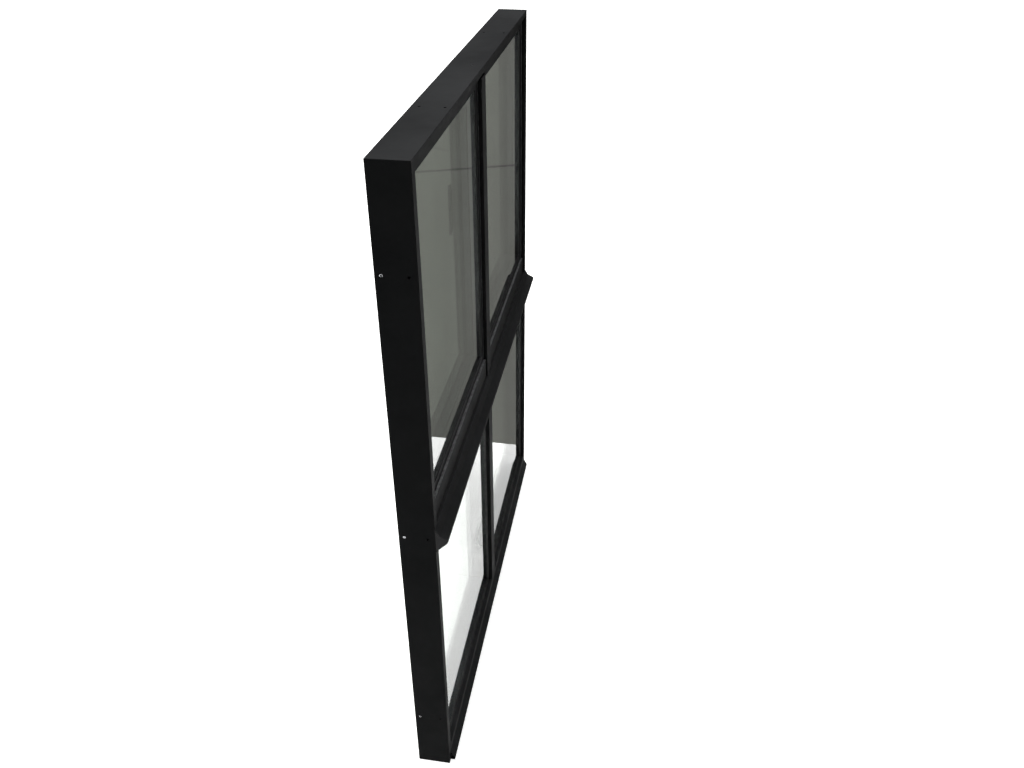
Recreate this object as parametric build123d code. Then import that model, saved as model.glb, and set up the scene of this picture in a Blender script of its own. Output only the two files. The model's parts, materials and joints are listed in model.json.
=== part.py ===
from build123d import *
import os

# Casement window: two inward-opening sashes over two fixed lower lights, in an aluminium frame.
# X runs along the width from the centre, Y from the outside face to the room side, Z up from the underside.
# Depths are measured from the frame's outside face, so a depth of 0 is Y = -frame_depth / 2.

# overall frame
frame_width = 1200.0
frame_height = 1500.0
frame_depth = 76.0
wall = 2.0
body_width = 10.0
leg_width = 11.0
leg_depth = 10.0
edge_radius = 1.2

# sill and transom
head_face = 13.0
head_step = 5.0
sill_height = 35.0
transom_bottom = 700.0
transom_top = 786.0
rebate_height = 750.0
rebate_depth = 5.5
nose_recess = 1.5
nose_depth = 9.0

# fixing holes through the frame walls
hole_radius = 2.75
jamb_hole_heights = (163.0, 1301.0)
jamb_hole_depths = (16.0, 64.0)
transom_screw_height = 722.0
head_hole_offset = 312.5
head_hole_depths = (12.0, 60.0)
mullion_screw_depth = 26.0
screw_radius = 2.0
screw_seats = (6.0, 0.8)
screw_length = 46.0

# weather bar and sill nose, as depth and height pairs
bar_outline = [(0, 690), (-5, 697), (-23.5, 716.5), (-26, 721), (-25, 725.5), (-8.5, 734), (0, 748)]
bar_cap_thickness = 2.0
sill_nose_outline = [(0, 0), (-9, 0), (-11, 2), (-11, 7), (0, 27)]
sill_nose_inset = 12.0

# glazing units: pane, gap, pane
pane_thickness = 4.0
unit_thickness = 24.0
fixed_glass_depth = 13.0
fixed_glass_clearance = 3.0
fixed_bead_width = 18.0

# sash section, as distances in from the frame's body line
sash_gap = 8.0
sash_body_end = 24.0
sash_lip_end = 30.0
sash_face_depth = 12.0
sash_lip_thickness = 2.0
sash_back_depth = 70.0
sash_inside_depth = 76.0
sash_flange_edge = 1.6
sash_glass_depth = 14.6
sash_glass_edge = 25.5
sash_bead_end = 34.0

# corner pivots
pivot_offset = 14.0
pivot_depth = 71.0
pivot_pin_radius = 2.5
pivot_clearance = 0.05
bracket_reach = 24.0
bracket_height = 6.8
pivot_notch = 30.0

# handle and lock
handle_height = 1135.0
handle_offset = 16.0
base_width = 16.0
base_height = 64.0
base_thickness = 3.0
base_corner = 7.6
neck_radius = 6.5
hub_radius = 8.5
lever_start = 80.5
lever_thickness = 7.5
lever_width = 14.0
lever_length = 104.0
spindle_width = 5.0
spindle_bore = 4.0
rod_thickness = 2.8
rod_width = 10.0
rod_depth = 43.0
rod_travel = 35.34
cam_radius = 4.0
cam_reach = 2.8
cam_heights = (915.0, 1375.0)
rod_ends = (846.0, 1466.0)
guide_heights = (856.0, 1040.0, 1230.0, 1420.0)

half = frame_width / 2
middle = frame_depth / 2
opening_side = half - body_width
upper_light = (body_width, opening_side, transom_top, frame_height - body_width)
lower_light = (body_width, opening_side, sill_height, transom_bottom)

os.makedirs("parts", exist_ok=True)


def save(shape, name):
    shape.label = name
    export_step(shape, "parts/" + name + ".step")


def join(shapes):
    return Compound(children=[solid for shape in shapes for solid in shape.solids()])


def block(x0, x1, d0, d1, z0, z1):
    centre = Pos((x0 + x1) / 2, (d0 + d1) / 2 - middle, (z0 + z1) / 2)
    return centre * Box(abs(x1 - x0), abs(d1 - d0), abs(z1 - z0))


def flip(shape):
    return join([solid.mirror(Plane.YZ) for solid in shape.solids()])


def both(shape):
    return join([shape, flip(shape)])


def rod_along(axis, x, d, z, radius, length):
    turns = {"x": Rot(0, 90, 0), "y": Rot(-90, 0, 0), "z": Rot(0, 0, 0)}
    return Pos(x, d - middle, z) * turns[axis] * Cylinder(radius, length)


def side_profile(points, x0, x1):
    # points are depth and height, run along X
    face = Plane.YZ * make_face(Polyline([(d - middle, z) for d, z in points], close=True))
    return Pos(x0, 0, 0) * extrude(face, x1 - x0, dir=(1, 0, 0))


def wedge(points, d0, d1):
    # points are X and Z, run along the depth
    face = Plane.XZ * make_face(Polyline(points, close=True))
    return extrude(face, d1 - d0, dir=(0, 1, 0)).moved(Location((0, d0 - middle, 0)))


def ring(light, o0, o1, d0, d1):
    x0, x1, z0, z1 = light
    outer = block(x0 + o0, x1 - o0, d0, d1, z0 + o0, z1 - o0)
    inner = block(x0 + o1, x1 - o1, d0 - 1, d1 + 1, z0 + o1, z1 - o1)
    return outer - inner


def side_block(light, side, o0, o1, d0, d1, reach=40.0):
    # a straight run of section along one side of a light, o measured in from the body line
    x0, x1, z0, z1 = light
    if side == "near":
        return block(x0 + o0, x0 + o1, d0, d1, z0 - reach, z1 + reach)
    if side == "far":
        return block(x1 - o1, x1 - o0, d0, d1, z0 - reach, z1 + reach)
    if side == "bottom":
        return block(x0 - reach, x1 + reach, d0, d1, z0 + o0, z0 + o1)
    return block(x0 - reach, x1 + reach, d0, d1, z1 - o1, z1 - o0)


def side_wedge(light, side, o0, o1, d0, d1):
    # the mitred region that belongs to one side of a light
    x0, x1, z0, z1 = light
    inner = (x0 + o1, x1 - o1, z0 + o1, z1 - o1)
    outer = (x0 + o0, x1 - o0, z0 + o0, z1 - o0)
    if side == "near":
        points = [(outer[0], outer[2]), (inner[0], inner[2]), (inner[0], inner[3]), (outer[0], outer[3])]
    elif side == "far":
        points = [(outer[1], outer[2]), (inner[1], inner[2]), (inner[1], inner[3]), (outer[1], outer[3])]
    elif side == "bottom":
        points = [(outer[0], outer[2]), (outer[1], outer[2]), (inner[1], inner[2]), (inner[0], inner[2])]
    else:
        points = [(outer[0], outer[3]), (outer[1], outer[3]), (inner[1], inner[3]), (inner[0], inner[3])]
    return wedge(points, d0, d1)


def screw(axis, x, d, z, sign):
    # head end at the given point, shank running along sign times the axis
    step = {"x": (sign, 0), "z": (0, sign)}[axis]
    head = rod_along(axis, x + step[0] * 1.5, d, z + step[1] * 1.5, 2.7, 3.0)
    reach = 3.0 + (screw_length - 3.0) / 2
    shank = rod_along(axis, x + step[0] * reach, d, z + step[1] * reach, screw_radius, screw_length - 3.0)
    socket = rod_along(axis, x + step[0] * 0.7, d, z + step[1] * 0.7, 1.3, 1.4)
    return head + shank - socket


# outer frame


def jamb_left():
    body = block(-half, -opening_side, 0, frame_depth, 0, frame_height)
    leg = block(-opening_side, -opening_side + leg_width, 0, leg_depth, 0, frame_height)
    solid = body + leg
    front = solid.edges().filter_by(Axis.Z).filter_by(lambda e: e.center().Y < -middle + leg_depth + 1)
    front = front.filter_by(lambda e: abs(e.center().X + opening_side) > 0.5)
    solid = fillet(front, edge_radius)
    back = solid.edges().filter_by(Axis.Z).sort_by(Axis.Y)[-2:]
    solid = fillet(back, 0.6)
    solid = solid - block(-half + wall, -opening_side - wall, 12, 38, -1, frame_height + 1)
    solid = solid - block(-half + wall, -opening_side - wall, 40, frame_depth - wall, -1, frame_height + 1)
    leg_end = -opening_side + leg_width - wall
    solid = solid - block(-half + wall, leg_end, wall, leg_depth - wall, -1, frame_height + 1)
    top = frame_height
    reach = body_width + leg_width + 5
    end = -half + reach
    cut = wedge([(-half, top), (end, top - reach), (end, top + 5), (-half, top + 5)], -1, 80)
    solid = solid - cut
    for z in jamb_hole_heights:
        for d in jamb_hole_depths:
            solid = solid - rod_along("x", -half + 5, d, z, hole_radius, 14)
    for d in jamb_hole_depths:
        solid = solid - rod_along("x", -half + 5, d, transom_screw_height, hole_radius, 14)
    return solid


def head():
    low = frame_height - body_width
    body = block(-half, half, 0, frame_depth, low, frame_height)
    face = block(-half, half, 0, leg_depth, frame_height - head_face, low)
    leg = block(-half, half, head_step, leg_depth, low - leg_width, low)
    solid = body + face + leg
    front = solid.edges().filter_by(Axis.X).filter_by(lambda e: e.center().Y < -middle + 0.1)
    solid = fillet(front, edge_radius)
    back = solid.edges().filter_by(Axis.X).sort_by(Axis.Y)[-2:]
    solid = fillet(back, 0.6)
    solid = solid - block(-half - 1, half + 1, 12, 38, low + wall, frame_height - wall)
    solid = solid - block(-half - 1, half + 1, 40, frame_depth - wall, low + wall, frame_height - wall)
    solid = solid - block(-half - 1, half + 1, wall, leg_depth - wall, low - 1, frame_height - wall)
    reach = body_width + leg_width + 5
    keep = [(-half, frame_height), (half, frame_height)]
    keep = keep + [(half - reach, frame_height - reach), (-half + reach, frame_height - reach)]
    solid = solid & wedge(keep, -1, 80)
    for x in (-head_hole_offset, head_hole_offset):
        for d in head_hole_depths:
            solid = solid - rod_along("z", x, d, frame_height - 5, hole_radius, 14)
    solid = solid - rod_along("z", 0, mullion_screw_depth, frame_height - 5, hole_radius, 14)
    return solid


def cross_member(z0, z1, low_leg, high_leg):
    inside = opening_side - leg_width
    front = block(-inside, inside, 0, leg_depth, z0 - low_leg, z1 + high_leg)
    back = block(-opening_side, opening_side, leg_depth, frame_depth, z0, z1)
    return front + back


def sill():
    solid = cross_member(0, sill_height, 0, leg_width)
    for d0, d1 in ((2, 8), (12, 38), (40, 74)):
        solid = solid - block(-half, half, d0, d1, wall, sill_height - wall)
    return solid


def transom():
    solid = cross_member(transom_bottom, transom_top, leg_width, leg_width)
    solid = solid - block(-half, half, -1, rebate_depth, rebate_height, transom_top + leg_width + 1)
    solid = solid - block(-half, half, 2, 8, transom_bottom + wall, rebate_height - wall)
    for d0, d1 in ((24, 38), (40, 56)):
        solid = solid - block(-half, half, d0, d1, transom_bottom + wall, transom_top - wall)
    for d0, d1 in ((12, 24), (56, 74)):
        solid = solid - block(-half, half, d0, d1, transom_bottom + 30, transom_top - wall)
        solid = solid - block(-half, half, d0, d1, transom_bottom + wall, transom_bottom + 14)
    for x in (-opening_side + 20, opening_side - 20):
        for d in jamb_hole_depths:
            solid = solid - rod_along("x", x, d, transom_screw_height, screw_radius, 48)
    solid = solid - rod_along("z", 0, mullion_screw_depth, transom_top - 10, screw_radius, 44)
    solid = solid - rod_along("z", 0, mullion_screw_depth, transom_bottom, screw_radius, 44)
    return solid


def mullion(z0, z1, face0, face1, foot):
    # the nose runs down to the foot, over whatever the transom's leg leaves free
    inside_low = z0 + leg_width
    inside_high = z1 - leg_width
    wide = body_width + leg_width
    nose = block(-wide, wide, face0, face1, foot, inside_high)
    edges = nose.edges().filter_by(Axis.Z).sort_by(Axis.Y)[:2]
    nose = fillet(edges, edge_radius)
    nose = nose - block(-half, half, rebate_depth, frame_depth, foot - 1, inside_low)
    low = nose + block(-body_width, body_width, face1, frame_depth, inside_low, inside_high)
    start = max(face1, leg_depth)
    solid = low + block(-body_width, body_width, start, frame_depth, z0, z1)
    for d0, d1 in ((34, 52), (54, 74)):
        solid = solid - block(-body_width + wall, body_width - wall, d0, d1, z0 - 1, z1 + 1)
    solid = solid - block(-wide + wall, wide - wall, face0 + wall, face1 - wall, z0 - 1, z1 + 1)
    for z in (z0, z1):
        solid = solid - rod_along("z", 0, mullion_screw_depth, z, screw_radius, 80)
    return solid


def weather_bar():
    solid = side_profile(bar_outline, -half + bar_cap_thickness, half - bar_cap_thickness)
    hollow = [(-1.8, 694), (-6, 700.5), (-22, 717.5), (-23.2, 722.5), (-10, 730.5), (-1.8, 742)]
    return solid - side_profile(hollow, -half, half)


def bar_end_caps():
    return both(side_profile(bar_outline, half - bar_cap_thickness, half))


def sill_nose():
    inside = half - sill_nose_inset
    solid = side_profile(sill_nose_outline, -inside, inside)
    hollow = [(-1.6, 1.6), (-8.4, 1.6), (-9.4, 2.6), (-9.4, 6.6), (-1.6, 20)]
    return solid - side_profile(hollow, -half, half)


def corner_cleats():
    gap = 0.2
    near = -half + wall + gap
    far = -opening_side - wall - gap
    top = frame_height - wall - gap
    low = frame_height - body_width + wall + gap
    up = block(near, far, 42, 72, top - 70, top)
    along = block(near, -half + 72, 42, 72, low, top)
    return both(up + along)


def sill_end_blocks():
    return both(block(opening_side - 40, opening_side, 42, 72, wall + 0.2, sill_height - wall - 0.2))


def frame_screws():
    pieces = []
    for d, seat in zip(jamb_hole_depths, screw_seats):
        pieces.append(screw("x", -half + seat, d, transom_screw_height, 1))
        pieces.append(screw("x", half - seat, d, transom_screw_height, -1))
    pieces.append(screw("z", 0, mullion_screw_depth, frame_height - 0.8, -1))
    return join(pieces)


def stop_seal():
    seal = ring(upper_light, 8, leg_width, leg_depth, sash_face_depth - 0.6)
    nose = block(-40, body_width + leg_width + 5, 0, nose_recess + nose_depth, 0, frame_height)
    return both(seal - nose)


# fixed lower lights


def pane(light, edge, d0):
    return ring_plate(light, edge, d0, d0 + pane_thickness)


def ring_plate(light, edge, d0, d1):
    x0, x1, z0, z1 = light
    return block(x0 + edge, x1 - edge, d0, d1, z0 + edge, z1 - edge)


def mitred_beads(light, o0, o1, d0, d1, thickness):
    pieces = []
    for side in ("near", "far", "bottom", "top"):
        run = side_block(light, side, o0, o1, d0, d1)
        low, high = d0 + thickness, d1 - thickness
        run = run - side_block(light, side, o0 + thickness, o1 - thickness, low, high, 60)
        pieces.append(run & side_wedge(light, side, o0 - 1, o1 + 1, d0 - 1, d1 + 1))
    return join(pieces)


def unit_spacer(light, o0, o1, d0):
    return ring(light, o0, o1, d0 + pane_thickness, d0 + unit_thickness - pane_thickness)


def fixed_gaskets():
    edge = fixed_glass_clearance
    outer = ring(lower_light, edge, leg_width, leg_depth, fixed_glass_depth)
    back = fixed_glass_depth + unit_thickness
    inner = ring(lower_light, edge, 14, back, back + 3)
    return join([outer, inner])


def fixed_setting_blocks():
    x0, x1, z0, z1 = lower_light
    pieces = []
    for x in (x0 + 130, x1 - 130):
        pieces.append(block(x - 50, x + 50, 12, 38, z0, z0 + fixed_glass_clearance))
    return join(pieces)


# sashes, drawn for the right-hand side; the left one is its mirror image


def sash_member(side):
    light = upper_light
    body = side_block(light, side, sash_gap, sash_body_end, sash_face_depth, sash_inside_depth)
    lip_back = sash_face_depth + sash_lip_thickness
    lip = side_block(light, side, sash_gap, sash_lip_end, sash_face_depth, lip_back)
    flange = side_block(light, side, sash_flange_edge, sash_body_end, sash_back_depth, sash_inside_depth)
    solid = body + lip + flange
    inner0 = sash_gap + wall
    inner1 = sash_body_end - wall
    hollow_back = sash_inside_depth - wall
    solid = solid - side_block(light, side, inner0, inner1, sash_face_depth + wall, hollow_back, 60)
    solid = solid & side_wedge(light, side, -10, 60, 0, 90)
    x0, x1, z0, z1 = light
    notch = x1 - pivot_notch
    for low, high in ((z0 - 1, z0 + sash_gap), (z1 - sash_gap, z1 + 1)):
        solid = solid - block(notch, x1 + 1, sash_back_depth - 2, sash_inside_depth + 1, low, high)
    for z in (z0, z1):
        solid = solid - pivot_bore(z)
    return solid


def pivot_x():
    return opening_side - pivot_offset


def pivot_bore(z):
    return rod_along("z", pivot_x(), pivot_depth, z, pivot_pin_radius + pivot_clearance, 48)


def hinge_stile():
    return sash_member("far")


def handle_x():
    return body_width + handle_offset


def lock_stile():
    solid = sash_member("near")
    x0 = body_width + sash_gap
    low = handle_height - rod_travel - 10
    high = handle_height + 10
    solid = solid - block(x0 - 1, x0 + wall + 1, rod_depth - 4, rod_depth + 4, low, high)
    solid = solid - rod_along("y", handle_x(), sash_inside_depth, handle_height, spindle_bore, 10)
    for z in (handle_height - 22, handle_height + 22):
        solid = solid - rod_along("y", handle_x(), sash_inside_depth, z, screw_radius, 10)
    return solid


def sash_cleats():
    x0, x1, z0, z1 = upper_light
    gap = 0.2
    o0 = sash_gap + wall + gap
    o1 = sash_body_end - wall - gap
    pieces = []
    for x, sx in ((x0, 1), (x1, -1)):
        for z, sz in ((z0, 1), (z1, -1)):
            up = block(x + sx * o0, x + sx * o1, 22, 73.8, z + sz * o0, z + sz * 80)
            along = block(x + sx * o0, x + sx * 80, 22, 73.8, z + sz * o0, z + sz * o1)
            pieces.append(up + along - pivot_bore(z))
    return join(pieces)


def sash_gaskets():
    lip_back = sash_face_depth + sash_lip_thickness
    outer = ring(upper_light, sash_glass_edge, sash_lip_end, lip_back, sash_glass_depth)
    back = sash_glass_depth + unit_thickness
    inner = ring(upper_light, sash_glass_edge, sash_bead_end - 2, back, back + 3)
    return join([outer, inner])


def sash_setting_blocks():
    x0, x1, z0, z1 = upper_light
    d0 = sash_glass_depth
    d1 = d0 + unit_thickness + 1
    low = block(x1 - 160, x1 - 70, d0, d1, z0 + sash_body_end, z0 + sash_glass_edge)
    high = block(x0 + 70, x0 + 160, d0, d1, z1 - sash_glass_edge, z1 - sash_body_end)
    return join([low, high])


def pivot_bracket(z, up):
    # sits in the corner of the opening, against the jamb and the transom or head
    x = opening_side
    solid = block(x - bracket_reach, x, 58, sash_inside_depth - 0.2, z, z + up * bracket_height)
    solid = solid - rod_along("z", pivot_x(), pivot_depth, z, pivot_pin_radius, 30)
    for d in (62.5, 71.0):
        solid = solid - rod_along("z", x - 5.5, d, z + up * bracket_height, 2.3, 3.0)
    return solid


def pivot_pin(z, up):
    pin = rod_along("z", pivot_x(), pivot_depth, z + up * 12.2, pivot_pin_radius, 23.6)
    washer = bracket_height + 0.5
    return pin + rod_along("z", pivot_x(), pivot_depth, z + up * washer, 4.4, 1.0)


def pivot_pieces(make):
    x0, x1, z0, z1 = upper_light
    return join([make(z0, 1), make(z1, -1)])


def handle_base():
    x = handle_x()
    d1 = sash_inside_depth + base_thickness
    z0 = handle_height - base_height / 2
    plate = block(x - base_width / 2, x + base_width / 2, sash_inside_depth, d1, z0, z0 + base_height)
    plate = fillet(plate.edges().filter_by(Axis.Y), base_corner)
    plate = fillet(plate.faces().sort_by(Axis.Y)[-1].edges(), 1.2)
    return plate - rod_along("y", x, d1, handle_height, neck_radius + 0.05, 12)


def handle_lever():
    x = handle_x()
    d1 = lever_start + lever_thickness
    start = sash_inside_depth + 0.4
    neck = rod_along("y", x, (start + d1) / 2, handle_height, neck_radius, d1 - start)
    top = handle_height + lever_length
    arm = block(x - lever_width / 2, x + lever_width / 2, lever_start, d1, handle_height, top)
    hub = rod_along("y", x, (lever_start + d1) / 2, handle_height, hub_radius, lever_thickness)
    tip = rod_along("y", x, (lever_start + d1) / 2, top, lever_width / 2, lever_thickness)
    hand = arm + hub + tip
    hand = fillet(hand.faces().sort_by(Axis.Y)[-1].edges(), 1.8)
    side = spindle_width / 2
    spindle = block(x - side, x + side, 56, start + 1, handle_height - side, handle_height + side)
    return neck + hand + spindle


def lock_gearbox():
    x = handle_x()
    near = body_width + sash_gap + wall + 0.4
    far = body_width + sash_body_end - wall - 0.4
    back = sash_inside_depth - wall - 0.4
    skin = 1.2
    solid = block(near, far, rod_depth - 7, back, handle_height - 75, handle_height + 75)
    room = block(near + skin, far - skin, rod_depth - 5.5, back - 5, handle_height - 73, handle_height + 73)
    solid = solid - room
    low = handle_height - rod_travel - 10
    solid = solid - block(near - 1, near + 2, rod_depth - 4, rod_depth + 4, low, handle_height + 10)
    return solid - rod_along("y", x, back, handle_height, spindle_bore, 14)


def lock_rod():
    x1 = body_width + sash_gap - 0.1
    x0 = x1 - rod_thickness
    solid = block(x0, x1, rod_depth - rod_width / 2, rod_depth + rod_width / 2, rod_ends[0], rod_ends[1])
    for z in cam_heights:
        solid = solid + rod_along("x", x0 - cam_reach / 2, rod_depth, z, cam_radius, cam_reach)
    low = handle_height - 8
    return solid + block(x1, x1 + 8, rod_depth - 3, rod_depth + 3, low, low + 16)


def rod_guides():
    x1 = body_width + sash_gap
    x0 = x1 - 4.6
    pieces = []
    for z in guide_heights:
        outer = block(x0, x1, rod_depth - 8, rod_depth + 8, z - 9, z + 9)
        slot = block(x1 - rod_thickness - 0.3, x1 + 1, rod_depth - 5.2, rod_depth + 5.2, z - 10, z + 10)
        pieces.append(outer - slot)
    return join(pieces)


def lock_keepers():
    pieces = []
    for z in cam_heights:
        held = z - rod_travel
        plate = block(body_width, body_width + 1.2, 32, 58, held - 22, held + 46)
        lip = block(body_width + 1.2, body_width + 4.0, 48, 53, held - 7, held + 8)
        piece = plate + lip
        for dz in (-16, 40):
            piece = piece - rod_along("x", body_width, 38, held + dz, 2.1, 6)
        pieces.append(piece)
    return join(pieces)


def save_frame():
    left = jamb_left()
    save(left, "frame_jamb_left")
    save(flip(left), "frame_jamb_right")
    save(head(), "frame_head")
    save(sill(), "frame_sill")
    save(transom(), "transom")
    top = frame_height - body_width
    save(mullion(transom_top, top, nose_recess, nose_recess + nose_depth, rebate_height), "upper_mullion")
    save(mullion(sill_height, transom_bottom, 0, leg_depth, sill_height + leg_width), "lower_mullion")
    save(weather_bar(), "weather_bar")
    save(bar_end_caps(), "weather_bar_end_caps")
    save(sill_nose(), "sill_nose")
    save(corner_cleats(), "frame_corner_cleats")
    save(sill_end_blocks(), "sill_end_blocks")
    save(frame_screws(), "frame_screws")
    save(stop_seal(), "sash_stop_seals")
    save(both(lock_keepers()), "lock_keepers")
    save(both(pivot_pieces(pivot_bracket)), "pivot_brackets")
    save(both(pivot_pieces(pivot_pin)), "pivot_pins")


def save_fixed_lights():
    edge = fixed_glass_clearance
    outer = pane(lower_light, edge, fixed_glass_depth)
    inner = pane(lower_light, edge, fixed_glass_depth + unit_thickness - pane_thickness)
    back = fixed_glass_depth + unit_thickness + 3
    save(flip(outer), "lower_left_outer_pane")
    save(flip(inner), "lower_left_inner_pane")
    save(outer, "lower_right_outer_pane")
    save(inner, "lower_right_inner_pane")
    save(both(unit_spacer(lower_light, edge + 1, leg_width, fixed_glass_depth)), "lower_glass_spacers")
    save(both(fixed_gaskets()), "lower_glazing_gaskets")
    beads = mitred_beads(lower_light, 0, fixed_bead_width, back, frame_depth, 1.6)
    save(both(beads), "lower_glazing_beads")
    save(both(fixed_setting_blocks()), "lower_setting_blocks")


def save_sash(side, place):
    glass = sash_glass_depth
    back = glass + unit_thickness + 3
    save(place(hinge_stile()), side + "_sash_hinge_stile")
    save(place(lock_stile()), side + "_sash_lock_stile")
    save(place(sash_member("top")), side + "_sash_top_rail")
    save(place(sash_member("bottom")), side + "_sash_bottom_rail")
    save(place(pane(upper_light, sash_glass_edge, glass)), side + "_sash_outer_pane")
    inner_glass = glass + unit_thickness - pane_thickness
    save(place(pane(upper_light, sash_glass_edge, inner_glass)), side + "_sash_inner_pane")
    spacer = unit_spacer(upper_light, sash_glass_edge + 0.5, sash_lip_end, glass)
    save(place(spacer), side + "_sash_glass_spacer")
    save(place(sash_gaskets()), side + "_sash_gaskets")
    beads = mitred_beads(upper_light, sash_body_end, sash_bead_end, back, sash_inside_depth, 1.6)
    save(place(beads), side + "_sash_glazing_beads")
    save(place(sash_setting_blocks()), side + "_sash_setting_blocks")
    save(place(sash_cleats()), side + "_sash_corner_cleats")
    save(place(handle_base()), side + "_handle_base")
    save(place(lock_gearbox()), side + "_lock_gearbox")
    save(place(rod_guides()), side + "_lock_rod_guides")
    save(place(handle_lever()), side + "_handle_lever")
    save(place(lock_rod()), side + "_lock_rod")


save_frame()
save_fixed_lights()
save_sash("right", lambda shape: shape)
save_sash("left", flip)
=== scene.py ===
import json
import math

import bmesh
import bpy
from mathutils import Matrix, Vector


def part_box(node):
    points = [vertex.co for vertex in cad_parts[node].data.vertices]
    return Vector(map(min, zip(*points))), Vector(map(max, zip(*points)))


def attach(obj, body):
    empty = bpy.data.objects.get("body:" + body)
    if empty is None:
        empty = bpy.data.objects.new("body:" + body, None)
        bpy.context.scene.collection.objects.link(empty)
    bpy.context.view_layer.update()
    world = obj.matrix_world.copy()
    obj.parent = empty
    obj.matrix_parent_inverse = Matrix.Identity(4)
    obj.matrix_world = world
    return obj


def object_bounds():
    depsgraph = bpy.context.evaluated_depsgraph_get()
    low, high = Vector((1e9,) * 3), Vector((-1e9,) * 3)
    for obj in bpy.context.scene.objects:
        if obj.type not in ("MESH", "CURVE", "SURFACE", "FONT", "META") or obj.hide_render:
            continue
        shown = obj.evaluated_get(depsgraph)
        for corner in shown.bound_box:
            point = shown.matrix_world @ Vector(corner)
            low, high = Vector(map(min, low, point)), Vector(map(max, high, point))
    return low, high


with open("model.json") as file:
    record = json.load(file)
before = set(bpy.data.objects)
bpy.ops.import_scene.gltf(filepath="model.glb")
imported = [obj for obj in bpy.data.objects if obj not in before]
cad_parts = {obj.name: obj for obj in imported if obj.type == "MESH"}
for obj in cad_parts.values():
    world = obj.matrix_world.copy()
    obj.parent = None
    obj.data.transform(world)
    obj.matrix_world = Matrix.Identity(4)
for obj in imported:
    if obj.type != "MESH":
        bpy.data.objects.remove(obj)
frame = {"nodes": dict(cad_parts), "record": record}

CAD_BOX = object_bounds()
MM = 0.001
SIDES = ("left", "right")

# Sight lines, measured in from the edges of each glass pane.
FIXED_EDGE_COVER = 8 * MM
SASH_EDGE_COVER = 4.5 * MM
FIXED_BEAD_COVER = 15 * MM
SASH_BEAD_COVER = 8.5 * MM
LIP = 2.4 * MM

# The pale ledge strip, a painted highlight for the lit top of the ledge: the jamb's leg that it stops short
# of, its front edge behind the transom's, its height.
LEG = 11 * MM
LEDGE_FRONT = 5.7 * MM
LEDGE_STRIP_THICKNESS = 0.5 * MM
END_GAP = 0.3 * MM

# Pivot, handle and keeper fixings, from the CAD's own dimensions.
PIVOT_SCREW_INSET = 5.5 * MM
PIVOT_SCREW_STEPS = (4.5 * MM, 13.0 * MM)
COVER_RISE = 22 * MM
KEEPER_SCREW_RISES = (6 * MM, 62 * MM)
HOLE_RADIUS = 2.75 * MM
DRILL_HEIGHTS = (163 * MM, 722 * MM, 1301 * MM)
REAR_DRILL_Y = 26 * MM

# Stage sizes in metres. The card, a glowing grey card seen only in the glass as a painted reflection,
# stands past the far jamb, from CARD_FRONT to CARD_BACK in Y.
FLOOR_REACH = 14.0
FLOOR_Z = -0.3 * MM
BACKDROP_RADIUS = 13.5
BACKDROP_TOP = 9.0
CARD_GAP = 0.10
CARD_FRONT = -0.42
CARD_BACK = 0.38
CARD_TOP = 1.5
# Painted contact shadow on the floor under the window, seen in the glass: where it starts in X, its front
# edge in Y.
SHADOW_START = 0.12
SHADOW_FRONT = -0.115
# A dark line across the glowing card, a painted dark line in the glass reflection: its height at the front,
# its climb, its width.
REFLECTED_LINE_HEIGHT = 1.047
REFLECTED_LINE_SLOPE = 0.126
REFLECTED_LINE_WIDTH = 0.006

CAMERA_PLACE = (-1.9074, -0.4096, 1.9644)
CAMERA_TURN = (57.185, 0.144, -80.716)
CAMERA_LENS = 31.88

NODES = frame["nodes"]


# ---------- materials ----------


def new_material(name):
    material = bpy.data.materials.new(name)
    material.use_nodes = True
    tree = material.node_tree
    return material, tree, tree.nodes["Principled BSDF"]


def object_coordinates(tree, stretch=(1, 1, 1)):
    place = tree.nodes.new("ShaderNodeTexCoord")
    mapping = tree.nodes.new("ShaderNodeMapping")
    mapping.inputs["Scale"].default_value = stretch
    tree.links.new(place.outputs["Object"], mapping.inputs["Vector"])
    return mapping.outputs["Vector"]


def noise(tree, scale, detail=4.0, rough=0.55, stretch=(1, 1, 1)):
    node = tree.nodes.new("ShaderNodeTexNoise")
    node.inputs["Scale"].default_value = scale
    node.inputs["Detail"].default_value = detail
    node.inputs["Roughness"].default_value = rough
    tree.links.new(object_coordinates(tree, stretch), node.inputs["Vector"])
    return node.outputs["Fac"]


def ramp(tree, factor, low, high, start=0.35, end=0.65):
    node = tree.nodes.new("ShaderNodeValToRGB")
    node.color_ramp.elements[0].position = start
    node.color_ramp.elements[1].position = end
    node.color_ramp.elements[0].color = (*low, 1)
    node.color_ramp.elements[1].color = (*high, 1)
    tree.links.new(factor, node.inputs["Fac"])
    return node.outputs["Color"]


def spread(tree, factor, low, high, start=0.3, end=0.7):
    node = tree.nodes.new("ShaderNodeMapRange")
    node.inputs["From Min"].default_value = start
    node.inputs["From Max"].default_value = end
    node.inputs["To Min"].default_value = low
    node.inputs["To Max"].default_value = high
    tree.links.new(factor, node.inputs["Value"])
    return node.outputs["Result"]


def blend_colour(tree, factor, low, high):
    node = tree.nodes.new("ShaderNodeMix")
    node.data_type = "RGBA"
    tree.links.new(factor, node.inputs["Factor"])
    tree.links.new(low, node.inputs["A"])
    tree.links.new(high, node.inputs["B"])
    return node.outputs["Result"]


def add_bump(tree, shader, height, strength, distance):
    node = tree.nodes.new("ShaderNodeBump")
    node.inputs["Strength"].default_value = strength
    node.inputs["Distance"].default_value = distance
    tree.links.new(height, node.inputs["Height"])
    tree.links.new(node.outputs["Normal"], shader.inputs["Normal"])


def grey(level):
    return (level, level * 1.02, level * 1.05)


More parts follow.
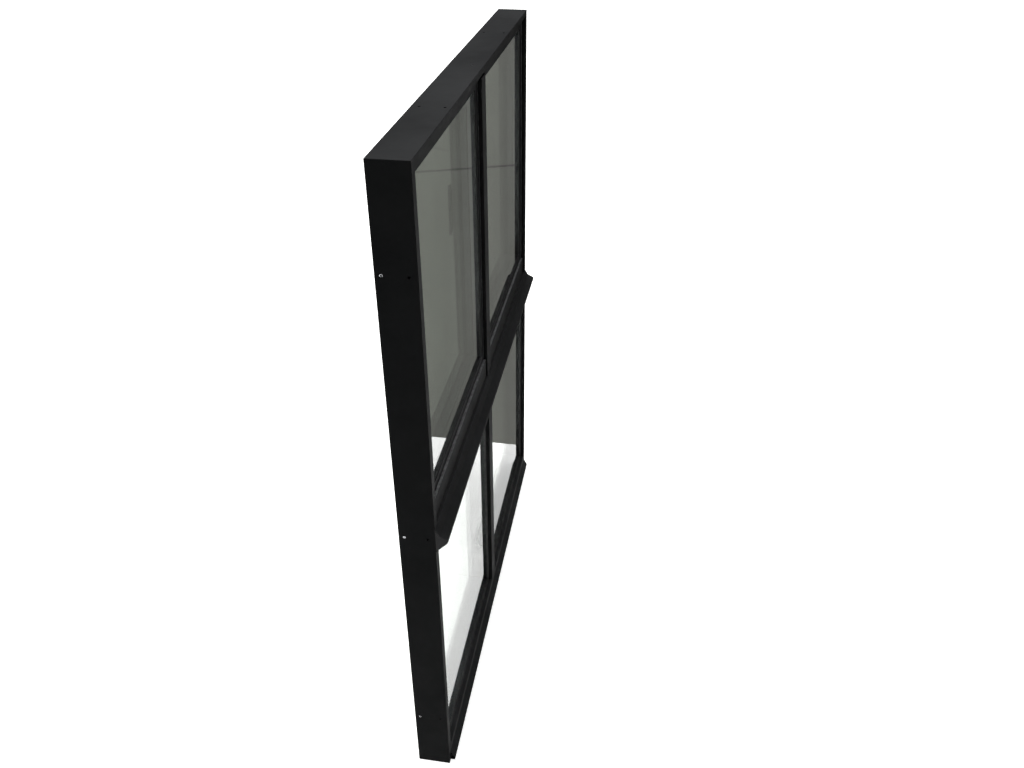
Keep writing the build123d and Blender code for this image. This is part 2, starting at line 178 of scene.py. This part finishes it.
def powder_coat(name, level, rough, dust=0.5):
    """Near-black powder coat: fine orange-peel grain, faint cloudy tone, thin settled dust in patches."""
    material, tree, shader = new_material(name)
    cloud = noise(tree, 5.0, 6.0)
    paint = ramp(tree, cloud, grey(level * 0.82), grey(level * 1.2))
    specks = noise(tree, 70.0, 8.0, 0.7)
    dusty = ramp(tree, specks, grey(level), grey(level * (1 + 0.9 * dust)), 0.45, 0.75)
    patch = spread(tree, noise(tree, 9.0, 5.0), 0.0, 0.55, 0.5, 0.72)
    tree.links.new(blend_colour(tree, patch, paint, dusty), shader.inputs["Base Color"])
    sheen = spread(tree, noise(tree, 14.0, 5.0), rough - 0.06, rough + 0.08)
    tree.links.new(sheen, shader.inputs["Roughness"])
    shader.inputs["Specular IOR Level"].default_value = 0.02
    add_bump(tree, shader, noise(tree, 1400.0, 2.0), 0.22, 0.00008)
    return material


def metal(name, level, rough, stretch=(1, 1, 1), scale=260.0):
    """Plated or mill-finish metal with fine directional lines and a cloudy tone."""
    material, tree, shader = new_material(name)
    shader.inputs["Metallic"].default_value = 1.0
    lines = noise(tree, scale, 3.0, 0.6, stretch)
    tone = ramp(tree, lines, grey(level * 0.86), grey(level * 1.08))
    tree.links.new(tone, shader.inputs["Base Color"])
    sheen = spread(tree, noise(tree, 24.0, 5.0), rough - 0.07, rough + 0.09)
    tree.links.new(sheen, shader.inputs["Roughness"])
    add_bump(tree, shader, lines, 0.12, 0.00005)
    return material


def rubber(name, level):
    """Matt extruded rubber with a faint bloom."""
    material, tree, shader = new_material(name)
    bloom = ramp(tree, noise(tree, 120.0, 6.0), grey(level * 0.75), grey(level * 1.5))
    tree.links.new(bloom, shader.inputs["Base Color"])
    tree.links.new(spread(tree, noise(tree, 40.0, 4.0), 0.62, 0.85), shader.inputs["Roughness"])
    add_bump(tree, shader, noise(tree, 900.0, 3.0), 0.25, 0.00006)
    return material


def plastic(name, colour, rough):
    """Moulded plastic, slightly uneven in tone."""
    material, tree, shader = new_material(name)
    dark = tuple(c * 0.85 for c in colour)
    light = tuple(c * 1.15 for c in colour)
    tree.links.new(ramp(tree, noise(tree, 60.0, 5.0), dark, light), shader.inputs["Base Color"])
    sheen = spread(tree, noise(tree, 30.0, 4.0), rough - 0.06, rough + 0.08)
    tree.links.new(sheen, shader.inputs["Roughness"])
    shader.inputs["Specular IOR Level"].default_value = 0.15
    add_bump(tree, shader, noise(tree, 700.0, 2.0), 0.15, 0.00006)
    return material


def window_glass(name):
    """Clear float glass with a faint green-grey body and a very thin film of smears."""
    material, tree, shader = new_material(name)
    shader.inputs["Transmission Weight"].default_value = 1.0
    shader.inputs["IOR"].default_value = 1.52
    smear = noise(tree, 3.5, 6.0, 0.6, (1, 1, 2.4))
    tone = ramp(tree, smear, (0.9, 0.935, 0.905), (0.93, 0.96, 0.935))
    tree.links.new(tone, shader.inputs["Base Color"])
    tree.links.new(spread(tree, smear, 0.0, 0.012, 0.5, 0.8), shader.inputs["Roughness"])
    return material


def spacer_strip(name):
    """Dark anodised spacer bar with its line of small breather pricks."""
    material, tree, shader = new_material(name)
    shader.inputs["Metallic"].default_value = 0.7
    pricks = tree.nodes.new("ShaderNodeTexVoronoi")
    pricks.inputs["Scale"].default_value = 180.0
    tree.links.new(object_coordinates(tree), pricks.inputs["Vector"])
    tone = ramp(tree, pricks.outputs["Distance"], grey(0.03), grey(0.11), 0.08, 0.2)
    tree.links.new(tone, shader.inputs["Base Color"])
    tree.links.new(spread(tree, noise(tree, 60.0), 0.34, 0.5), shader.inputs["Roughness"])
    return material


MATERIALS = {
    "frame_coating": powder_coat("frame_powder_coat", 0.025, 0.56),
    "sash_coating": powder_coat("sash_powder_coat", 0.025, 0.56),
    "hinge_coating": powder_coat("bracket_powder_coat", 0.02, 0.42, 0.3),
    "handle_coating": powder_coat("handle_powder_coat", 0.02, 0.38, 0.25),
    "black_plastic": plastic("black_moulding", (0.014, 0.0142, 0.015), 0.55),
    "packer_plastic": plastic("packer_moulding", (0.1, 0.12, 0.18), 0.5),
    "seal_rubber": rubber("seal_rubber", 0.012),
    # Grey rubber for the stop seals; on the ledge strips its pale tone is a painted highlight.
    "stop_seal": rubber("grey_stop_seal", 0.1),
    "glass": window_glass("float_glass"),
    "spacer_metal": spacer_strip("spacer_strip"),
    "cleat_metal": metal("mill_aluminium", 0.68, 0.36, (1, 1, 0.05)),
    "screw_steel": metal("plated_steel", 0.6, 0.3),
    "lock_steel": metal("zinc_steel", 0.52, 0.34, (1, 1, 0.06)),
}


def paint(obj, slot):
    obj.data.materials.clear()
    obj.data.materials.append(MATERIALS[slot])


# ---------- mesh helpers ----------


def mesh_object(name, bm, body, slot):
    bmesh.ops.recalc_face_normals(bm, faces=bm.faces)
    mesh = bpy.data.meshes.new(name)
    bm.to_mesh(mesh)
    bm.free()
    obj = bpy.data.objects.new(name, mesh)
    bpy.context.scene.collection.objects.link(obj)
    paint(obj, slot)
    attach(obj, body)
    return obj


def add_bevel(obj, width, segments=2, angle=35):
    bevel = obj.modifiers.new("edges", "BEVEL")
    bevel.width = width
    bevel.segments = segments
    bevel.limit_method = "ANGLE"
    bevel.angle_limit = math.radians(angle)
    bevel.harden_normals = False


def ring_strip(bm, low, high, profile):
    """A strip run round a rectangle in XZ. profile lists (inset from the rectangle, y) points in order."""
    corners = []
    for inset, y in profile:
        x0, x1, z0, z1 = low.x + inset, high.x - inset, low.z + inset, high.z - inset
        corners.append([bm.verts.new(p) for p in ((x0, y, z0), (x1, y, z0), (x1, y, z1), (x0, y, z1))])
    count = len(profile)
    for i in range(count):
        for k in range(4):
            a, b = corners[i], corners[(i + 1) % count]
            bm.faces.new((a[k], a[(k + 1) % 4], b[(k + 1) % 4], b[k]))


def turned(bm, centre, axis, profile, steps=32, lobes=0, lobe_depth=0.0, lobed=()):
    """A solid of revolution. profile lists (radius, height along axis); rings in lobed are star-shaped."""
    turn = Vector((0, 0, 1)).rotation_difference(Vector(axis)).to_matrix()
    rings = []
    for index, (radius, height) in enumerate(profile):
        ring = []
        for k in range(steps):
            angle = 2 * math.pi * k / steps
            r = radius * (1 + lobe_depth * math.cos(lobes * angle)) if index in lobed else radius
            point = turn @ Vector((r * math.cos(angle), r * math.sin(angle), height))
            ring.append(bm.verts.new(Vector(centre) + point))
        rings.append(ring)
    for a, b in zip(rings, rings[1:]):
        for k in range(steps):
            bm.faces.new((a[k], a[(k + 1) % steps], b[(k + 1) % steps], b[k]))
    bm.faces.new(rings[0])
    bm.faces.new(rings[-1])


def screw_head(bm, centre, axis, radius, height):
    """A countersunk head with a star socket. centre is on the face that the head lies in."""
    profile = [(radius * 0.55, -height), (radius, -0.25 * height)]
    profile += [(radius * 0.97, 0.0), (radius * 0.48, 0.0)]
    profile += [(radius * 0.44, -0.06 * height), (radius * 0.4, -0.6 * height)]
    turned(bm, centre, axis, profile, 36, 6, 0.16, (3, 4, 5))


def solid_boxes(node):
    """Lowest and highest corner of each separate solid of a CAD node."""
    bm = bmesh.new()
    bm.from_mesh(NODES[node].data)
    bmesh.ops.remove_doubles(bm, verts=bm.verts, dist=1e-6)
    seen, boxes = set(), []
    for start in bm.verts:
        if start.index in seen:
            continue
        stack, group = [start], []
        seen.add(start.index)
        while stack:
            vert = stack.pop()
            group.append(vert.co.copy())
            for edge in vert.link_edges:
                other = edge.other_vert(vert)
                if other.index not in seen:
                    seen.add(other.index)
                    stack.append(other)
        low = Vector([min(p[i] for p in group) for i in range(3)])
        high = Vector([max(p[i] for p in group) for i in range(3)])
        boxes.append((low, high))
    bm.free()
    return sorted(boxes, key=lambda b: (round(b[0].z, 4), round(b[0].x, 4)))


# ---------- the CAD's own nodes ----------


def finish_cad_nodes():
    slots = {part["node"]: part["material_slot"] for part in frame["record"]["subparts"]}
    sharp = ("pane", "spacer", "gasket", "seal", "screws", "setting", "cleat")
    for name, obj in NODES.items():
        paint(obj, slots[name])
        if not any(word in name for word in sharp):
            add_bevel(obj, 0.35 * MM)
        for polygon in obj.data.polygons:
            polygon.use_smooth = False


# ---------- pieces made here ----------


def glazing_lips():
    """The wedge of rubber that shows between the metal and the glass, on both faces of every unit."""
    units = [("lower_" + s, "frame", "lower_%s_outer_pane" % s, "lower_%s_inner_pane" % s, FIXED_EDGE_COVER,
              FIXED_BEAD_COVER, 3.0 * MM) for s in SIDES]
    units += [(s + "_sash", s + "_sash", s + "_sash_outer_pane", s + "_sash_inner_pane", SASH_EDGE_COVER,
               SASH_BEAD_COVER, 0.5 * MM) for s in SIDES]
    for name, body, outer, inner, cover, bead_cover, thick in units:
        low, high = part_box(outer)
        face = low.y
        bm = bmesh.new()
        profile = [(cover - 0.5 * MM, face), (cover + LIP, face), (cover + LIP * 0.85, face - 0.7 * MM)]
        profile += [(cover + 0.2 * MM, face - thick), (cover - 0.5 * MM, face - thick)]
        ring_strip(bm, low, high, profile)
        mesh_object(name + "_outer_glazing_lip", bm, body, "seal_rubber")
        low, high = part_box(inner)
        face = high.y
        bm = bmesh.new()
        start = bead_cover - 1.0 * MM
        profile = [(start, face), (bead_cover + LIP, face), (bead_cover + LIP * 0.8, face + 0.8 * MM)]
        profile += [(bead_cover + 0.2 * MM, face + 2.9 * MM), (start, face + 2.9 * MM)]
        ring_strip(bm, low, high, profile)
        mesh_object(name + "_inner_glazing_lip", bm, body, "seal_rubber")


def ledge_highlight_strips():
    """A pale grey flat strip along the transom's top edge under each sash, a painted highlight: it shows as
    the light line of the lit ledge there.
    """
    transom_low, transom_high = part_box("transom")
    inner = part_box("upper_mullion")[1].x + END_GAP
    outer = transom_high.x - LEG - END_GAP
    y0 = transom_low.y + LEDGE_FRONT
    y1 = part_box("sash_stop_seals")[1].y - 0.2 * MM
    z0 = transom_high.z + 0.02 * MM
    z1 = z0 + LEDGE_STRIP_THICKNESS
    corners = [(y0, z0), (y1, z0), (y1, z1 + 0.15 * MM), ((y0 + y1) / 2, z1), (y0 + 0.5 * MM, z1)]
    for side, sign in (("left", -1), ("right", 1)):
        bm = bmesh.new()
        ends = [[bm.verts.new((sign * x, y, z)) for y, z in corners] for x in (inner, outer)]
        for k in range(len(corners)):
            nxt = (k + 1) % len(corners)
            bm.faces.new((ends[0][k], ends[0][nxt], ends[1][nxt], ends[1][k]))
        bm.faces.new(ends[0])
        bm.faces.new(ends[1])
        mesh_object(side + "_ledge_highlight_strip", bm, "frame", "stop_seal")


def pivot_screws():
    """Two countersunk screws in each pivot bracket."""
    bm = bmesh.new()
    for low, high in solid_boxes("pivot_brackets"):
        x = high.x - PIVOT_SCREW_INSET if low.x > 0 else low.x + PIVOT_SCREW_INSET
        up = 1 if low.z < 1.0 else -1
        face = high.z if up > 0 else low.z
        for step in PIVOT_SCREW_STEPS:
            centre = (x, low.y + step, face - up * 0.25 * MM)
            screw_head(bm, centre, (0, 0, up), 2.15 * MM, 1.1 * MM)
    mesh_object("pivot_bracket_screws", bm, "frame", "screw_steel")


def handle_details():
    """The base's two screw covers, the ring round the handle's neck, and the lever's grub screw."""
    for side in SIDES:
        low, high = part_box(side + "_handle_base")
        centre_x = (low.x + high.x) / 2
        middle = (low.z + high.z) / 2
        bm = bmesh.new()
        for rise in (-COVER_RISE, COVER_RISE):
            profile = [(4.2 * MM, -0.2 * MM), (4.2 * MM, 0.3 * MM)]
            profile += [(3.8 * MM, 0.55 * MM), (1.2 * MM, 0.6 * MM)]
            turned(bm, (centre_x, high.y, middle + rise), (0, 1, 0), profile)
        mesh_object(side + "_handle_screw_covers", bm, side + "_sash", "handle_coating")
        bm = bmesh.new()
        profile = [(6.55 * MM, 0), (7.5 * MM, 0.2 * MM), (7.5 * MM, 0.8 * MM), (6.55 * MM, 1.0 * MM)]
        turned(bm, (centre_x, high.y + 0.2 * MM, middle), (0, 1, 0), profile, 48)
        mesh_object(side + "_handle_neck_ring", bm, side + "_handle", "screw_steel")
        bm = bmesh.new()
        lever_low, lever_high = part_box(side + "_handle_lever")
        centre = (centre_x, lever_high.y - 4.2 * MM, lever_low.z - 0.05 * MM)
        screw_head(bm, centre, (0, 0, -1), 1.5 * MM, 0.9 * MM)
        mesh_object(side + "_handle_grub_screw", bm, side + "_handle", "screw_steel")


def keeper_screws():
    """Two countersunk screws in each lock keeper."""
    bm = bmesh.new()
    for low, high in solid_boxes("lock_keepers"):
        sign = 1 if low.x > 0 else -1
        face = low.x + 1.2 * MM if sign > 0 else high.x - 1.2 * MM
        for rise in KEEPER_SCREW_RISES:
            centre = (face - sign * 0.1 * MM, 0.0, low.z + rise)
            screw_head(bm, centre, (sign, 0, 0), 2.0 * MM, 0.9 * MM)
    mesh_object("keeper_screws", bm, "frame", "screw_steel")


def drill_rims():
    """The bare metal that shows just inside the rear drillings of both jambs."""
    steps = 28
    depth = 0.6 * MM
    outer, inner = HOLE_RADIUS - 0.02 * MM, HOLE_RADIUS - 0.55 * MM
    for side, sign in (("left", -1), ("right", 1)):
        low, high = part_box("frame_jamb_" + side)
        face = low.x if sign < 0 else high.x
        bm = bmesh.new()
        for z in DRILL_HEIGHTS:
            centre = Vector((face - sign * 0.05 * MM, REAR_DRILL_Y, z))
            rings = []
            for radius, x in ((outer, 0), (inner, 0.2 * MM), (inner, depth), (outer, depth)):
                ring = []
                for k in range(steps):
                    angle = 2 * math.pi * k / steps
                    offset = Vector((-sign * x, radius * math.cos(angle), radius * math.sin(angle)))
                    ring.append(bm.verts.new(centre + offset))
                rings.append(ring)
            for i in range(4):
                a, b = rings[i], rings[(i + 1) % 4]
                for k in range(steps):
                    bm.faces.new((a[k], a[(k + 1) % steps], b[(k + 1) % steps], b[k]))
        mesh_object(side + "_drill_rims", bm, "frame", "cleat_metal")


# ---------- studio ----------


def stage_material(name, colour, emit=0.0):
    material, tree, shader = new_material(name)
    light = tuple(min(1.0, c * 1.02) for c in colour)
    tone = ramp(tree, noise(tree, 1.3, 3.0), colour, light)
    tree.links.new(tone, shader.inputs["Base Color"])
    shader.inputs["Roughness"].default_value = 0.9
    if emit:
        tree.links.new(tone, shader.inputs["Emission Color"])
        shader.inputs["Emission Strength"].default_value = emit
    return material


def stage_object(name, bm, material):
    mesh = bpy.data.meshes.new(name)
    bm.to_mesh(mesh)
    bm.free()
    obj = bpy.data.objects.new(name, mesh)
    obj.data.materials.append(material)
    bpy.context.scene.collection.objects.link(obj)
    return obj


def quad(bm, points):
    bm.faces.new([bm.verts.new(p) for p in points])


def floor_and_backdrop():
    """A plain pale floor inside a pale round backdrop."""
    bm = bmesh.new()
    signs = ((-1, -1), (1, -1), (1, 1), (-1, 1))
    quad(bm, [(x * FLOOR_REACH, y * FLOOR_REACH, FLOOR_Z) for x, y in signs])
    floor = stage_object("floor", bm, stage_material("pale_floor", (0.86, 0.86, 0.855), 0.75))
    floor.visible_diffuse = False

    bm = bmesh.new()
    steps = 64
    angles = [2 * math.pi * k / steps for k in range(steps)]
    ring = [(BACKDROP_RADIUS * math.cos(a), BACKDROP_RADIUS * math.sin(a)) for a in angles]
    for k in range(steps):
        (ax, ay), (bx, by) = ring[k], ring[(k + 1) % steps]
        quad(bm, [(ax, ay, FLOOR_Z), (bx, by, FLOOR_Z), (bx, by, BACKDROP_TOP), (ax, ay, BACKDROP_TOP)])
    wall = stage_object("backdrop", bm, stage_material("pale_backdrop", (0.9, 0.9, 0.9), 1.0))
    wall.visible_diffuse = False
    wall.visible_glossy = False
    wall.visible_shadow = False


def painted_reflection_card():
    """A glowing grey card past the far jamb, with a dark line across it and a pale grey patch at its foot:
    a painted reflection, a painted dark line and a painted contact shadow, which show only in and through
    the glass.
    """
    card_x = CAD_BOX[1].x + CARD_GAP
    bm = bmesh.new()
    upright(bm, card_x, 0, 0, CARD_TOP)
    seen_in_glass("painted_reflection_card", bm, reflection_card_material())
    # The foot: a painted contact shadow on the floor, seen only in the glass.
    bm = bmesh.new()
    corners = ((SHADOW_START, SHADOW_FRONT), (card_x, SHADOW_FRONT), (card_x, CARD_BACK), (SHADOW_START, CARD_BACK))
    quad(bm, [(x, y, 0) for x, y in corners])
    seen_in_glass("painted_contact_shadow", bm, contact_shadow_material())
    # The seam: a dark glowing strip, a painted dark line in the glass reflection.
    bm = bmesh.new()
    low = REFLECTED_LINE_HEIGHT + REFLECTED_LINE_SLOPE * CARD_FRONT
    rise = REFLECTED_LINE_SLOPE * (CARD_BACK - CARD_FRONT)
    upright(bm, card_x - 0.002, low, rise, REFLECTED_LINE_WIDTH)
    seen_in_glass("painted_reflection_line", bm, stage_material("painted_reflection_line", (0.09, 0.09, 0.083), 1.0))


def upright(bm, x, low, rise, height):
    """An upright face over the card's width, whose two long edges climb by rise from front to back."""
    high = low + height
    front = [(x, CARD_FRONT, low), (x, CARD_FRONT, high)]
    back = [(x, CARD_BACK, low + rise), (x, CARD_BACK, high + rise)]
    quad(bm, [front[0], back[0], back[1], front[1]])


def seen_in_glass(name, bm, material):
    """A stage object that only reflections and light through glass can see."""
    obj = stage_object(name, bm, material)
    obj.visible_camera = False
    obj.visible_diffuse = False
    obj.visible_shadow = False


def reflection_card_material():
    """Glowing grey card, a painted reflection for the glass, with faint upright fold shading painted into
    its tone.
    """
    material, tree, shader = new_material("painted_reflection_card")
    folds = noise(tree, 4.2, 2.0, 0.5, (1, 1, 0.06))
    tone = ramp(tree, folds, (0.122, 0.124, 0.112), (0.15, 0.151, 0.138), 0.38, 0.62)
    tree.links.new(tone, shader.inputs["Base Color"])
    tree.links.new(tone, shader.inputs["Emission Color"])
    # The card glows by itself, so its grey and its folds are a painted reflection, not lit by the lamps.
    shader.inputs["Emission Strength"].default_value = 1.0
    shader.inputs["Roughness"].default_value = 0.9
    return material


def contact_shadow_material():
    """Painted contact shadow of the window on the floor close under it: a glowing pale grey, seen only in
    the glass, which fades out forwards and to the left.
    """
    material, tree, shader = new_material("painted_contact_shadow")
    tone = ramp(tree, noise(tree, 3.0, 3.0), (0.5, 0.5, 0.5), (0.56, 0.56, 0.56))
    tree.links.new(tone, shader.inputs["Base Color"])
    tree.links.new(tone, shader.inputs["Emission Color"])
    shader.inputs["Emission Strength"].default_value = 0.9
    shader.inputs["Roughness"].default_value = 0.9
    split = tree.nodes.new("ShaderNodeSeparateXYZ")
    tree.links.new(object_coordinates(tree), split.inputs["Vector"])
    along = spread(tree, split.outputs["X"], 0.0, 1.0, SHADOW_START, SHADOW_START + 0.1)
    across = spread(tree, split.outputs["Y"], 0.0, 1.0, SHADOW_FRONT, SHADOW_FRONT + 0.03)
    fade = tree.nodes.new("ShaderNodeMath")
    fade.operation = "MULTIPLY"
    tree.links.new(along, fade.inputs[0])
    tree.links.new(across, fade.inputs[1])
    tree.links.new(fade.outputs["Value"], shader.inputs["Alpha"])
    return material


def sun(name, place, strength, angle):
    data = bpy.data.lights.new(name, "SUN")
    data.energy = strength
    data.angle = math.radians(angle)
    obj = bpy.data.objects.new(name, data)
    obj.rotation_euler = Vector(place).to_track_quat("Z", "Y").to_euler()
    bpy.context.scene.collection.objects.link(obj)
    return obj


def lights():
    sun("overhead", (0.12, 0.2, 1.0), 4.5, 52)
    world = bpy.data.worlds.new("soft_room")
    bpy.context.scene.world = world
    world.use_nodes = True
    background = world.node_tree.nodes["Background"]
    background.inputs["Color"].default_value = (0.95, 0.98, 1.0, 1)
    background.inputs["Strength"].default_value = 0.08


def camera():
    """To the left of the window and above it, close to its plane, looking along it."""
    data = bpy.data.cameras.new("camera")
    data.sensor_width = 36.0
    data.lens = CAMERA_LENS
    obj = bpy.data.objects.new("camera", data)
    obj.location = CAMERA_PLACE
    obj.rotation_euler = [math.radians(a) for a in CAMERA_TURN]
    bpy.context.scene.collection.objects.link(obj)
    bpy.context.scene.camera = obj
    bpy.context.scene.view_settings.view_transform = "Standard"


finish_cad_nodes()
glazing_lips()
ledge_highlight_strips()
pivot_screws()
handle_details()
keeper_screws()
drill_rims()
floor_and_backdrop()
painted_reflection_card()
lights()
camera()
